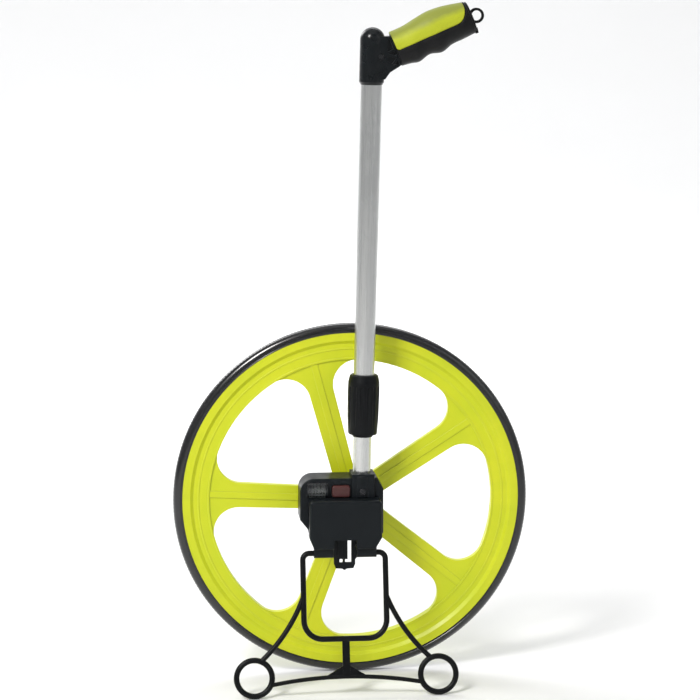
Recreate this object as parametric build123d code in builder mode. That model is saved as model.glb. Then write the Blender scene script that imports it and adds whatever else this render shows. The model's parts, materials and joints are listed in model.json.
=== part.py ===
"""Measuring wheel: a spoked wheel on a side axle with a counter box, a telescopic handle and a fold-up stand.

Units are millimetres. +X points to the grip side, +Y to the back of the wheel, +Z up. The origin lies on
the floor, midway between the front of the stand's rings and the back of the hub cap.
"""
import os
from math import cos, radians, sin

from build123d import *

os.makedirs("parts", exist_ok=True)

# Wheel: one turn is 4 ft of ground
WHEEL_D = 388.08
WHEEL_R = WHEEL_D / 2
WHEEL_Y = 38.0
TYRE_SEAT_R = 183.8
TYRE_W = 16.0
TYRE_TONGUE_W = 6.4
WALL_TOP_R = 186.3
RIM_IN_R = 154.5
RIM_FACE = 5.0
SPOKES = 5
SPOKE_START = 33.0
SPOKE_W_IN = 24.0
SPOKE_W_OUT = 28.0
SPOKE_FACE = 4.0
HUB_DISC_R = 32.0
HUB_BOSS_R = 24.0
HUB_FACE = 15.0

# Axle and bearings
AXLE_R = 5.0
RUN = 0.05
BUSH_R = 8.0

# Counter box, measured from the axle: X across, Z up, depth towards the front
PLATE_BACK = 20.0
HOUSING_BACK = 23.0
HOUSING_FRONT = 54.0
COVER_FRONT = 72.0
WALL = 2.5

# Gear train
DRIVE_TEETH = 16
TRANSFER_TEETH = 25
CROWN_PINS = 10
CROWN_R = 5.0
PINION_TEETH = 16
COUNTER_Z = 16.0
COUNTER_DEPTH = 42.0
TRANSFER_X = -12.816
DRUM_R = 9.5
DRUM_W = 3.3
DRUM_PITCH = 3.7
DRUM_FIRST_X = -32.95

# Telescopic handle
TUBE_DEPTH = 40.0
TUBE_X = 7.5
TUBE_LEAN = 1.4
LOWER_R = 9.525
LOWER_BORE = 8.3
UPPER_R = 11.1
UPPER_BORE = 9.9
HEAD_LOW = 452.0
HEAD_TOP = 512.0
HEAD_R = 13.1
HEAD_SCREW_X = 28.0
HEAD_SCREW_Z = 481.2
GRIP_X = 43.0
GRIP_Z = 489.0
GRIP_ANGLE = 22.8
GRIP_L = 85.0

# Stand
STAND_X = -12.5
STAND_DEPTH = 62.0
STAND_Z = -46.0
STAND_TILT = 15.0
BAR_R = 3.05
STRUT_R = 2.75
ARCH_R = 2.3
LEG_U = 44.35
LOOP_S = 91.5
RING_U = 98.4
RING_S = 131.15
RING_R = 18.95


def face(depth, x=0.0, z=0.0):
    """Plane facing the front, its origin given from the axle."""
    return Plane(origin=(x, WHEEL_Y - depth, WHEEL_R + z), x_dir=(1, 0, 0), z_dir=(0, -1, 0))


def side(x, depth=0.0, z=0.0):
    """Plane facing +X; its local X runs to the back and its local Y runs up."""
    return Plane(origin=(x, WHEEL_Y - depth, WHEEL_R + z), x_dir=(0, 1, 0), z_dir=(1, 0, 0))


def along_tube(height):
    """Plane square to the handle tube, at a height above the axle."""
    lean = radians(TUBE_LEAN)
    origin = (TUBE_X + height * sin(lean), WHEEL_Y - TUBE_DEPTH, WHEEL_R + height * cos(lean))
    return Plane(origin=origin, x_dir=(cos(lean), 0, -sin(lean)), z_dir=(sin(lean), 0, cos(lean)))


def along_grip(t):
    """Plane square to the grip, its local X pointing up and its local Y to the front."""
    a = radians(GRIP_ANGLE)
    origin = (GRIP_X + t * cos(a), WHEEL_Y - TUBE_DEPTH, WHEEL_R + GRIP_Z + t * sin(a))
    return Plane(origin=origin, x_dir=(-sin(a), 0, cos(a)), z_dir=(cos(a), 0, sin(a)))


def grip_side(depth=0.0):
    """Plane facing the front whose local X runs along the grip, its origin at the grip's inner end."""
    a = radians(GRIP_ANGLE)
    origin = (GRIP_X, WHEEL_Y - TUBE_DEPTH - depth, WHEEL_R + GRIP_Z)
    return Plane(origin=origin, x_dir=(cos(a), 0, sin(a)), z_dir=(0, -1, 0))


def stand_plane(lift=0.0):
    """Plane of the stand, its origin on the pivot and its local Y running up the legs."""
    tilt = radians(STAND_TILT)
    normal = (0, -cos(tilt), sin(tilt))
    origin = (STAND_X, WHEEL_Y - STAND_DEPTH - lift * cos(tilt), WHEEL_R + STAND_Z + lift * sin(tilt))
    return Plane(origin=origin, x_dir=(1, 0, 0), z_dir=normal)


WHEEL_AXIS = Axis((0, WHEEL_Y, WHEEL_R), (0, 1, 0))
RADIAL = Plane(origin=(0, WHEEL_Y, WHEEL_R), x_dir=(1, 0, 0), z_dir=(0, 0, 1))


def gear_sketch(teeth, root_r, tip_r, root_half, tip_half, first_deg):
    """Slim straight-sided teeth around a root disc, for a pair with generous backlash."""
    Circle(root_r)
    with PolarLocations(0, teeth, start_angle=first_deg):
        Polygon(
            (root_r - 0.5, -root_half),
            (tip_r, -tip_half),
            (tip_r, tip_half),
            (root_r - 0.5, root_half),
            align=None,
        )


# ---------------------------------------------------------------- wheel body

with BuildPart() as wheel:
    with BuildSketch(face(-SPOKE_FACE)):
        Circle(TYRE_SEAT_R - 3.0)
    extrude(amount=2 * SPOKE_FACE)
    with BuildSketch(face(-RIM_FACE)):
        Circle(TYRE_SEAT_R - 3.0)
        Circle(RIM_IN_R, mode=Mode.SUBTRACT)
    extrude(amount=2 * RIM_FACE)
    # Rim flange, grooved for the tyre's tongue
    with BuildSketch(RADIAL):
        with BuildLine():
            Polyline(
                (172.0, -5.0),
                (175.5, -7.5),
                (TYRE_SEAT_R, -7.5),
                (TYRE_SEAT_R, -3.4),
                (TYRE_SEAT_R - 3.2, -3.4),
                (TYRE_SEAT_R - 3.2, 3.4),
                (TYRE_SEAT_R, 3.4),
                (TYRE_SEAT_R, 7.5),
                (175.5, 7.5),
                (172.0, 5.0),
                close=True,
            )
        make_face()
    revolve(axis=WHEEL_AXIS)
    # Raised edge around the inside of the rim and a fine ring on its face
    with BuildSketch(RADIAL):
        with Locations((RIM_IN_R + 1.0, 0)):
            Rectangle(2.0, 10.8)
        with Locations((166.5, 0)):
            Rectangle(1.6, 10.7)
    revolve(axis=WHEEL_AXIS)
    # Window between each pair of spokes
    with BuildSketch(face(-20)) as windows:
        Circle(RIM_IN_R)
        Circle(HUB_DISC_R, mode=Mode.SUBTRACT)
        with PolarLocations(0, SPOKES, start_angle=SPOKE_START):
            Polygon(
                (HUB_DISC_R - 8.0, -SPOKE_W_IN / 2),
                (RIM_IN_R + 8.0, -SPOKE_W_OUT / 2),
                (RIM_IN_R + 8.0, SPOKE_W_OUT / 2),
                (HUB_DISC_R - 8.0, SPOKE_W_IN / 2),
                align=None,
                mode=Mode.SUBTRACT,
            )
        outer_corners = windows.vertices().filter_by(lambda v: (v.X**2 + v.Y**2) ** 0.5 > 120)
        fillet(outer_corners, radius=27.0)
        inner_corners = windows.vertices().filter_by(lambda v: (v.X**2 + v.Y**2) ** 0.5 < 80)
        fillet(inner_corners, radius=6.0)
    extrude(amount=40, mode=Mode.SUBTRACT)
    # Low ridge down the middle of each spoke, on both faces
    with BuildSketch(face(-SPOKE_FACE - 0.8)):
        with PolarLocations(0, SPOKES, start_angle=SPOKE_START):
            with Locations((90.0, 0)):
                SlotOverall(150.0, 7.0)
    extrude(amount=2 * SPOKE_FACE + 1.6)
    # Hub boss with its bore
    with BuildSketch(face(-HUB_FACE)):
        Circle(HUB_BOSS_R)
    extrude(amount=2 * HUB_FACE)
    with BuildSketch(face(-HUB_FACE - 1)):
        Circle(BUSH_R + 0.02)
    extrude(amount=2 * HUB_FACE + 2, mode=Mode.SUBTRACT)
wheel.part.label = "wheel"
export_step(wheel.part, "parts/wheel.step")

with BuildPart() as tyre:
    with BuildSketch(RADIAL):
        with BuildLine():
            Polyline(
                (WALL_TOP_R, -TYRE_W / 2),
                (TYRE_SEAT_R + 0.05, -TYRE_W / 2),
                (TYRE_SEAT_R + 0.05, -TYRE_TONGUE_W / 2),
                (TYRE_SEAT_R - 3.0, -TYRE_TONGUE_W / 2),
                (TYRE_SEAT_R - 3.0, TYRE_TONGUE_W / 2),
                (TYRE_SEAT_R + 0.05, TYRE_TONGUE_W / 2),
                (TYRE_SEAT_R + 0.05, TYRE_W / 2),
                (WALL_TOP_R, TYRE_W / 2),
            )
            ThreePointArc((WALL_TOP_R, TYRE_W / 2), (190.12, 6.976), (192.92, 4.178))
            ThreePointArc((192.92, 4.178), (WHEEL_R, 0), (192.92, -4.178))
            ThreePointArc((192.92, -4.178), (190.12, -6.976), (WALL_TOP_R, -TYRE_W / 2))
        make_face()
    revolve(axis=WHEEL_AXIS)
tyre.part.label = "tyre"
export_step(tyre.part, "parts/tyre.step")

with BuildPart() as front_bush:
    with BuildSketch(face(3.0)):
        Circle(BUSH_R)
        Circle(AXLE_R + RUN, mode=Mode.SUBTRACT)
    extrude(amount=11.9)
front_bush.part.label = "front_bush"
export_step(front_bush.part, "parts/front_bush.step")

with BuildPart() as rear_bush:
    with BuildSketch(face(-HUB_FACE)):
        Circle(BUSH_R)
        Circle(AXLE_R + RUN, mode=Mode.SUBTRACT)
    extrude(amount=12.0)
    with BuildSketch(face(-HUB_FACE - 1.5)):
        Circle(11.0)
        Circle(AXLE_R + RUN, mode=Mode.SUBTRACT)
    extrude(amount=1.5)
rear_bush.part.label = "rear_bush"
export_step(rear_bush.part, "parts/rear_bush.step")

GEAR_DIRECTION = 128.695

with BuildPart() as drive_gear:
    with BuildSketch(face(HUB_FACE)):
        Circle(16.0)
    extrude(amount=2.0)
    with BuildSketch(face(HUB_FACE)):
        Circle(6.7)
    extrude(amount=9.2)
    with BuildSketch(face(24.0)):
        gear_sketch(DRIVE_TEETH, 6.8, 8.85, 0.85, 0.38, GEAR_DIRECTION)
    extrude(amount=3.0)
    with BuildSketch(face(HUB_FACE - 1)):
        Circle(AXLE_R + RUN)
    extrude(amount=14.0, mode=Mode.SUBTRACT)
    with BuildSketch(face(HUB_FACE - 1)):
        with PolarLocations(11.5, 3):
            Circle(1.6)
    extrude(amount=4.0, mode=Mode.SUBTRACT)
drive_gear.part.label = "drive_gear"
export_step(drive_gear.part, "parts/drive_gear.step")

with BuildPart() as hub_cap:
    with BuildSketch(face(-28.0)):
        Circle(19.0)
    extrude(amount=13.0)
    fillet(hub_cap.faces().sort_by(Axis.Y)[-1].edges(), radius=4.0)
    with BuildSketch(face(-26.0)):
        Circle(17.0)
    extrude(amount=12.0, mode=Mode.SUBTRACT)
hub_cap.part.label = "hub_cap"
export_step(hub_cap.part, "parts/hub_cap.step")

# ---------------------------------------------------------------- axle, fixed to the box

with BuildPart() as axle:
    with BuildSketch(face(-25.0)):
        Circle(AXLE_R)
    extrude(amount=80.0)
    with BuildSketch(face(55.0)):
        RegularPolygon(radius=8.5, side_count=6, major_radius=False)
    extrude(amount=5.5)
    chamfer(axle.faces().sort_by(Axis.Y)[-1].edges(), length=0.8)
axle.part.label = "axle"
export_step(axle.part, "parts/axle.step")

with BuildPart() as axle_washers:
    with BuildSketch(face(-18.4)):
        Circle(9.5)
        Circle(AXLE_R + RUN, mode=Mode.SUBTRACT)
    extrude(amount=1.5)
    with BuildSketch(face(54.0)):
        Circle(9.5)
        Circle(AXLE_R + RUN, mode=Mode.SUBTRACT)
    extrude(amount=0.98)
axle_washers.part.label = "axle_washers"
export_step(axle_washers.part, "parts/axle_washers.step")

with BuildPart() as axle_nut:
    with BuildSketch(face(-24.0)):
        RegularPolygon(radius=8.0, side_count=6, major_radius=False)
        Circle(AXLE_R + 0.02, mode=Mode.SUBTRACT)
    extrude(amount=5.5)
axle_nut.part.label = "axle_nut"
export_step(axle_nut.part, "parts/axle_nut.step")

# ---------------------------------------------------------------- counter box


# Outline of the rear half of the box
BOX_POINTS = (
    (-58.8, -11.5),
    (-58.8, 33.4),
    (23.8, 33.4),
    (30.8, 21.5),
    (30.8, -27.0),
    (27.5, -30.3),
    (-45.5, -30.3),
    (-49.5, -26.8),
    (-49.5, -23.2),
)
PLATE_SCREWS = ((-52.5, -4.0), (-24.5, 29.6), (25.4, 17.0), (25.0, -24.5), (-43.0, -24.5))
COVER_SCREWS = ((-42.0, -3.0), (22.0, 2.0), (-33.0, -21.0), (16.0, -21.0))
BUTTON_X = -15.0
BUTTON_Z = 19.8
STEM_X = -11.0
WINDOW_X = -40.35
TUBE_SCREW_X = 8.0
TUBE_SCREW_Z = 19.4

with BuildPart() as back_plate:
    with BuildSketch(face(PLATE_BACK)) as plate_outline:
        Polygon(*BOX_POINTS, align=None)
        fillet(plate_outline.vertices().group_by(Axis.Y)[-1].sort_by(Axis.X)[0], radius=15.0)
        Circle(7.3, mode=Mode.SUBTRACT)
    extrude(amount=HOUSING_BACK - PLATE_BACK)
    # Seat of the transfer gear's pin
    with BuildSketch(face(PLATE_BACK, TRANSFER_X, COUNTER_Z)):
        Circle(2.0)
    extrude(amount=10, mode=Mode.SUBTRACT)
    # Screw holes
    with BuildSketch(face(PLATE_BACK - 1)):
        with Locations(*PLATE_SCREWS):
            Circle(1.55)
    extrude(amount=6, mode=Mode.SUBTRACT)
back_plate.part.label = "back_plate"
export_step(back_plate.part, "parts/back_plate.step")

with BuildPart() as housing:
    with BuildSketch(face(HOUSING_BACK)) as shell_outline:
        Polygon(*BOX_POINTS, align=None)
        fillet(shell_outline.vertices().group_by(Axis.Y)[-1].sort_by(Axis.X)[0], radius=15.0)
    extrude(amount=HOUSING_FRONT - HOUSING_BACK)
    front_rim = housing.faces().sort_by(Axis.Y)[0].edges()
    fillet(front_rim, radius=1.6)
    with BuildSketch(face(HOUSING_BACK - 1)) as shell_inside:
        Polygon(*BOX_POINTS, align=None)
        fillet(shell_inside.vertices().group_by(Axis.Y)[-1].sort_by(Axis.X)[0], radius=15.0)
        offset(amount=-WALL, mode=Mode.REPLACE)
    extrude(amount=HOUSING_FRONT - HOUSING_BACK - WALL + 1, mode=Mode.SUBTRACT)
    # Openings for the counter window and the reset button
    with BuildSketch(face(HOUSING_FRONT - 8)):
        with Locations((WINDOW_X, 20.8)):
            RectangleRounded(19.0, 14.6, 1.2)
    extrude(amount=20, mode=Mode.SUBTRACT)
    with BuildSketch(face(HOUSING_FRONT - 8)):
        with Locations((BUTTON_X, BUTTON_Z)):
            RectangleRounded(20.1, 13.5, 3.0)
    extrude(amount=10, mode=Mode.SUBTRACT)
    # Bosses for the back plate's screws
    with BuildSketch(face(HOUSING_BACK + 0.05)):
        with Locations(*PLATE_SCREWS):
            Circle(3.2)
            Circle(1.3, mode=Mode.SUBTRACT)
    extrude(amount=30.0)
    # Block that takes the lower tube
    with BuildSketch(face(28.2)):
        with Locations((8.7, 24.0)):
            Rectangle(25.0, 28.0)
    extrude(amount=57.2 - 28.2)
    tube_block_edges = housing.faces().sort_by(Axis.Y)[0].edges()
    fillet(tube_block_edges, radius=2.0)
    # Half-round front of the block
    socket_axis = Plane(origin=(TUBE_SCREW_X, WHEEL_Y - 50.0, WHEEL_R), x_dir=(1, 0, 0), z_dir=(0, -1, 0))
    with BuildSketch(socket_axis):
        Polygon((0, 13.5), (9.3, 13.5), (9.3, 34.9), (8.0, 36.2), (0, 36.2), align=None)
    revolve(axis=Axis(socket_axis.origin, (0, 0, 1)))
    # Boss around the axle
    with BuildSketch(face(28.6)):
        Circle(10.5)
    extrude(amount=HOUSING_FRONT - 28.6)
    # Rib that guides the reset button's stem
    with BuildSketch(face(44.0)):
        with Locations((-9.25, BUTTON_Z)):
            Rectangle(12.5, 12.0)
    extrude(amount=1.5)
    # Bores
    with BuildSketch(along_tube(13.0)):
        Circle(LOWER_R + 0.03)
    extrude(amount=40.0, mode=Mode.SUBTRACT)
    with BuildSketch(face(20.0)):
        Circle(AXLE_R + 0.02)
    extrude(amount=40.0, mode=Mode.SUBTRACT)
    with BuildSketch(face(43.0)):
        with Locations((STEM_X, BUTTON_Z)):
            Circle(1.95)
    extrude(amount=5, mode=Mode.SUBTRACT)
    # Hole and seat of the screw that holds the lower tube
    with BuildSketch(face(TUBE_DEPTH, TUBE_SCREW_X, TUBE_SCREW_Z)):
        Circle(1.6)
    extrude(amount=25.0, mode=Mode.SUBTRACT)
    with BuildSketch(face(57.8, TUBE_SCREW_X, TUBE_SCREW_Z)):
        Circle(3.7)
    extrude(amount=5.0, mode=Mode.SUBTRACT)
    # Clearance holes for the front cover's screws
    with BuildSketch(face(HOUSING_FRONT - WALL - 1)):
        with Locations(*COVER_SCREWS):
            Circle(1.6)
    extrude(amount=6.0, mode=Mode.SUBTRACT)
housing.part.label = "housing"
export_step(housing.part, "parts/housing.step")

with BuildPart() as plate_screws:
    with BuildSketch(face(PLATE_BACK)):
        with Locations(*PLATE_SCREWS):
            Circle(1.25)
    extrude(amount=15.0)
    with BuildSketch(face(PLATE_BACK)):
        with Locations(*PLATE_SCREWS):
            Circle(2.8)
    extrude(amount=-1.6)
plate_screws.part.label = "plate_screws"
export_step(plate_screws.part, "parts/plate_screws.step")

COVER_X = -11.0
COVER_W = 77.6
COVER_LOW = -40.5
COVER_TOP = 12.5


def cover_points(inset):
    """Corners of the front cover, shrunk by an inset: square on top, bevelled below."""
    left = COVER_X - COVER_W / 2
    right = COVER_X + COVER_W / 2
    return (
        (left + inset, COVER_TOP - inset),
        (right - inset, COVER_TOP - inset),
        (right - inset, COVER_LOW + 12.0),
        (right - 7.0 - 0.6 * inset, COVER_LOW + inset),
        (left + 5.0 + 0.6 * inset, COVER_LOW + inset),
        (left + inset, COVER_LOW + 12.0),
    )


with BuildPart() as front_cover:
    with BuildSketch(face(HOUSING_FRONT + 0.1)) as cover_face:
        Polygon(*cover_points(0.0), align=None)
        fillet(cover_face.vertices().group_by(Axis.Y)[-1], radius=4.5)
        fillet(cover_face.vertices().group_by(Axis.Y)[0], radius=3.0)
    extrude(amount=COVER_FRONT - HOUSING_FRONT - 0.1)
    fillet(front_cover.faces().sort_by(Axis.Y)[0].edges(), radius=2.2)
    with BuildSketch(face(HOUSING_FRONT - 0.5)):
        Polygon(*cover_points(2.4), align=None)
    extrude(amount=COVER_FRONT - HOUSING_FRONT - 1.9, mode=Mode.SUBTRACT)
    # Clearance over the foot of the tube block
    with BuildSketch(face(HOUSING_FRONT - 0.5)):
        with Locations((8.7, 12.8)):
            Rectangle(26.0, 7.0)
    extrude(amount=4.2, mode=Mode.SUBTRACT)
    # Notch in the lower edge, where the pointer bracket hangs
    with BuildSketch(face(HOUSING_FRONT - 1)):
        with Locations((-11.5, COVER_LOW + 2.0)):
            Rectangle(24.0, 16.4)
    extrude(amount=30, mode=Mode.SUBTRACT)
    # Screw posts
    with BuildSketch(face(HOUSING_FRONT + 0.1)):
        with Locations(*COVER_SCREWS):
            Circle(3.6)
            Circle(1.3, mode=Mode.SUBTRACT)
    extrude(amount=16.5)
    # Hinge barrels for the stand, either side of the notch
    for barrel_x, barrel_w in ((-44.8, 20.5), (1.3, 21.0)):
        with BuildSketch(side(barrel_x)):
            with Locations((-STAND_DEPTH, (COVER_LOW + 1.5 + STAND_Z) / 2)):
                Rectangle(10.4, COVER_LOW + 1.5 - STAND_Z)
            with Locations((-STAND_DEPTH, STAND_Z)):
                Circle(5.2)
        extrude(amount=barrel_w)
    with BuildSketch(side(-80.0)):
        with Locations((-STAND_DEPTH, STAND_Z)):
            Circle(BAR_R + RUN)
    extrude(amount=140.0, mode=Mode.SUBTRACT)
front_cover.part.label = "front_cover"
export_step(front_cover.part, "parts/front_cover.step")

with BuildPart() as cover_screws:
    with BuildSketch(face(HOUSING_FRONT - WALL - 0.02)):
        with Locations(*COVER_SCREWS):
            Circle(2.8)
    extrude(amount=-1.6)
    with BuildSketch(face(HOUSING_FRONT - WALL - 0.02)):
        with Locations(*COVER_SCREWS):
            Circle(1.25)
    extrude(amount=13.0)
cover_screws.part.label = "cover_screws"
export_step(cover_screws.part, "parts/cover_screws.step")

with BuildPart() as window_lens:
    with BuildSketch(side(-51.5)):
        with BuildLine():
            ThreePointArc((-54.1, 13.0), (-58.4, 21.0), (-54.1, 29.4))
            Line((-54.1, 29.4), (-54.1, 13.0))
        make_face()
    extrude(amount=22.3)
    with BuildSketch(side(-50.4)):
        with BuildLine():
            ThreePointArc((-53.0, 13.8), (-57.3, 21.0), (-53.0, 28.4))
            Line((-53.0, 28.4), (-53.0, 13.8))
        make_face()
    extrude(amount=20.1, mode=Mode.SUBTRACT)
window_lens.part.label = "window_lens"
export_step(window_lens.part, "parts/window_lens.step")

with BuildPart() as pointer_bracket:
    # Flange under the box
    with BuildSketch(face(HOUSING_FRONT - 15.0)):
        with Locations((-11.5, -31.6)):
            Rectangle(22.6, 2.4)
    extrude(amount=12.0)
    # Two posts joined by a pointed foot
    with BuildSketch(face(46.0)):
        with BuildLine():
            Polyline(
                (-22.8, -31.0),
                (-22.8, -54.4),
                (-22.2, -55.4),
                (-22.2, -61.5),
                (-20.2, -66.4),
                (-13.4, -66.9),
                (-10.8, -68.6),
                (-8.2, -66.9),
                (-1.2, -66.4),
                (0.9, -61.5),
                (0.9, -56.6),
                (2.6, -54.6),
                (2.6, -31.0),
                close=True,
            )
        make_face()
        with Locations((-5.4, -45.0)):
            Rectangle(4.0, 30.0, mode=Mode.SUBTRACT)
        with Locations((-7.2, -58.2)):
            Rectangle(6.0, 3.6, mode=Mode.SUBTRACT)
        with Locations((-14.4, -58.2)):
            RectangleRounded(3.6, 4.2, 1.2, mode=Mode.SUBTRACT)
    extrude(amount=3.0)
    # Stiffening rib down the wider post
    with BuildSketch(face(48.5)):
        with Locations((-15.4, -43.5)):
            Rectangle(5.0, 21.0)
    extrude(amount=2.5)
    with BuildSketch(Plane(origin=(-11.5, WHEEL_Y - 42.6, WHEEL_R - 34.0))):
        with Locations((-7.5, 0), (7.5, 0)):
            Circle(1.3)
    extrude(amount=5.0, mode=Mode.SUBTRACT)
pointer_bracket.part.label = "pointer_bracket"
export_step(pointer_bracket.part, "parts/pointer_bracket.step")

with BuildPart() as bracket_screws:
    with BuildSketch(Plane(origin=(-11.5, WHEEL_Y - 42.6, WHEEL_R - 32.82))):
        with Locations((-7.5, 0), (7.5, 0)):
            Circle(2.4)
    extrude(amount=-1.4)
    with BuildSketch(Plane(origin=(-11.5, WHEEL_Y - 42.6, WHEEL_R - 32.82))):
        with Locations((-7.5, 0), (7.5, 0)):
            Circle(1.2)
    extrude(amount=2.4)
bracket_screws.part.label = "bracket_screws"
export_step(bracket_screws.part, "parts/bracket_screws.step")

# ---------------------------------------------------------------- counter works

with BuildPart() as transfer_pin:
    with BuildSketch(face(PLATE_BACK, TRANSFER_X, COUNTER_Z)):
        Circle(1.98)
    extrude(amount=16.8)
transfer_pin.part.label = "transfer_pin"
export_step(transfer_pin.part, "parts/transfer_pin.step")

with BuildPart() as transfer_gear:
    with BuildSketch(face(24.0, TRANSFER_X, COUNTER_Z)):
        gear_sketch(TRANSFER_TEETH, 11.3, 13.35, 0.85, 0.38, GEAR_DIRECTION + 180 + 180 / TRANSFER_TEETH)
    extrude(amount=3.0)
    with BuildSketch(face(24.0, TRANSFER_X, COUNTER_Z)):
        Circle(4.0)
    extrude(amount=7.0)
    with BuildSketch(face(30.6, TRANSFER_X, COUNTER_Z)):
        Circle(5.9)
    extrude(amount=2.2)
    # Ring of pins that drives the counter's pinion
    with BuildSketch(face(32.7, TRANSFER_X, COUNTER_Z)):
        with PolarLocations(CROWN_R, CROWN_PINS, start_angle=180.0):
            Circle(0.45)
    extrude(amount=2.3)
    with BuildSketch(face(23.5, TRANSFER_X, COUNTER_Z)):
        Circle(1.98 + RUN)
    extrude(amount=20.0, mode=Mode.SUBTRACT)
transfer_gear.part.label = "transfer_gear"
export_step(transfer_gear.part, "parts/transfer_gear.step")

with BuildPart() as counter_frame:
    with BuildSketch(side(-52.0)):
        with BuildLine():
            Polyline((-29.5, 3.4), (-29.5, 26.5), (-50.0, 26.5), (-50.0, 3.4), close=True)
        make_face()
    extrude(amount=1.6)
    with BuildSketch(side(-30.4)):
        with BuildLine():
            Polyline((-29.5, 3.4), (-29.5, 26.5), (-50.0, 26.5), (-50.0, 3.4), close=True)
        make_face()
    extrude(amount=1.6)
    with BuildSketch(side(-52.0)):
        with Locations((-40.0, 4.1)):
            Rectangle(20.0, 1.4)
    extrude(amount=23.2)
    with BuildSketch(side(-60.0)):
        with Locations((-COUNTER_DEPTH, COUNTER_Z)):
            Circle(2.0 + RUN)
        with Locations((-33.3, 7.4)):
            Circle(1.0)
    extrude(amount=50.0, mode=Mode.SUBTRACT)
counter_frame.part.label = "counter_frame"
export_step(counter_frame.part, "parts/counter_frame.step")

with BuildPart() as counter_shaft:
    with BuildSketch(side(-53.0, COUNTER_DEPTH, COUNTER_Z)):
        Circle(2.0)
    extrude(amount=37.2)
counter_shaft.part.label = "counter_shaft"
export_step(counter_shaft.part, "parts/counter_shaft.step")

with BuildPart() as counter_pinion:
    with BuildSketch(side(-19.2, COUNTER_DEPTH, COUNTER_Z)):
        gear_sketch(PINION_TEETH, 6.6, 8.85, 0.7, 0.34, 180 / PINION_TEETH)
    extrude(amount=1.8)
    with BuildSketch(side(-21.6, COUNTER_DEPTH, COUNTER_Z)):
        Circle(4.0)
    extrude(amount=3.0)
    with BuildSketch(side(-25.0, COUNTER_DEPTH, COUNTER_Z)):
        Circle(2.01)
    extrude(amount=10.0, mode=Mode.SUBTRACT)
counter_pinion.part.label = "counter_pinion"
export_step(counter_pinion.part, "parts/counter_pinion.step")

for index in range(5):
    drum_x = DRUM_FIRST_X - index * DRUM_PITCH
    bore_r = 2.01 if index == 0 else 2.0 + RUN
    with BuildPart() as drum:
        with BuildSketch(side(drum_x - DRUM_W / 2, COUNTER_DEPTH, COUNTER_Z)):
            Circle(DRUM_R)
            Circle(bore_r, mode=Mode.SUBTRACT)
        extrude(amount=DRUM_W)
        # Moulded recess in each side, inside the numbered band
        for recess_x in (drum_x - DRUM_W / 2 - 1, drum_x + DRUM_W / 2 - 0.9):
            with BuildSketch(side(recess_x, COUNTER_DEPTH, COUNTER_Z)):
                Circle(8.0)
                Circle(3.6, mode=Mode.SUBTRACT)
            extrude(amount=1.9, mode=Mode.SUBTRACT)
    drum.part.label = f"drum_{index + 1}"
    export_step(drum.part, f"parts/drum_{index + 1}.step")

with BuildPart() as carry_shaft:
    with BuildSketch(side(-52.4, 33.3, 7.4)):
        Circle(0.98)
    extrude(amount=24.0)
carry_shaft.part.label = "carry_shaft"
export_step(carry_shaft.part, "parts/carry_shaft.step")

with BuildPart() as carry_pinions:
    for index in range(4):
        pinion_x = DRUM_FIRST_X - (index + 0.5) * DRUM_PITCH
        with BuildSketch(side(pinion_x - 1.1, 33.3, 7.4)):
            gear_sketch(8, 1.75, 2.5, 0.4, 0.25, 0.0)
            Circle(1.0, mode=Mode.SUBTRACT)
        extrude(amount=2.2)
carry_pinions.part.label = "carry_pinions"
export_step(carry_pinions.part, "parts/carry_pinions.step")

# ---------------------------------------------------------------- reset button

with BuildPart() as reset_button:
    with BuildSketch(face(53.2)):
        with Locations((BUTTON_X, BUTTON_Z)):
            RectangleRounded(19.4, 12.8, 2.8)
    extrude(amount=4.6)
    fillet(reset_button.faces().sort_by(Axis.Y)[0].edges(), radius=1.6)
    with BuildSketch(face(43.0)):
        with Locations((STEM_X, BUTTON_Z)):
            Circle(1.9)
    extrude(amount=10.6)
reset_button.part.label = "reset_button"
export_step(reset_button.part, "parts/reset_button.step")

with BuildPart() as button_clip:
    with BuildSketch(face(43.2)):
        with Locations((STEM_X, BUTTON_Z)):
            Circle(3.2)
            Circle(1.92, mode=Mode.SUBTRACT)
    extrude(amount=0.7)
button_clip.part.label = "button_clip"
export_step(button_clip.part, "parts/button_clip.step")

with BuildPart() as button_spring:
    with BuildLine() as coil:
        Helix(pitch=1.5, height=7.0, radius=2.75)
    with BuildSketch(Plane(origin=coil.line @ 0, z_dir=coil.line % 0)):
        Circle(0.28)
    sweep(is_frenet=True)
button_spring.part.move(face(45.82, STEM_X, BUTTON_Z).location)
button_spring.part.label = "button_spring"
export_step(button_spring.part, "parts/button_spring.step")

# ---------------------------------------------------------------- handle

with BuildPart() as lower_tube:
    with BuildSketch(along_tube(13.5)):
        Circle(LOWER_R)
        Circle(LOWER_BORE, mode=Mode.SUBTRACT)
    extrude(amount=406.5)
    with BuildSketch(face(TUBE_DEPTH, TUBE_SCREW_X, TUBE_SCREW_Z)):
        Circle(1.65)
    extrude(amount=30.0, mode=Mode.SUBTRACT)
lower_tube.part.label = "lower_tube"
export_step(lower_tube.part, "parts/lower_tube.step")

with BuildPart() as tube_screw:
    with BuildSketch(face(46.5, TUBE_SCREW_X, TUBE_SCREW_Z)):
        Circle(1.55)
    extrude(amount=11.5)
    with BuildSketch(face(57.85, TUBE_SCREW_X, TUBE_SCREW_Z)):
        Circle(3.4)
    extrude(amount=2.3)
    chamfer(tube_screw.faces().sort_by(Axis.Y)[0].edges(), length=0.4)
    with BuildSketch(face(59.0, TUBE_SCREW_X, TUBE_SCREW_Z)):
        RegularPolygon(radius=1.5, side_count=6, major_radius=False)
    extrude(amount=3.0, mode=Mode.SUBTRACT)
tube_screw.part.label = "tube_screw"
export_step(tube_screw.part, "parts/tube_screw.step")

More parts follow.
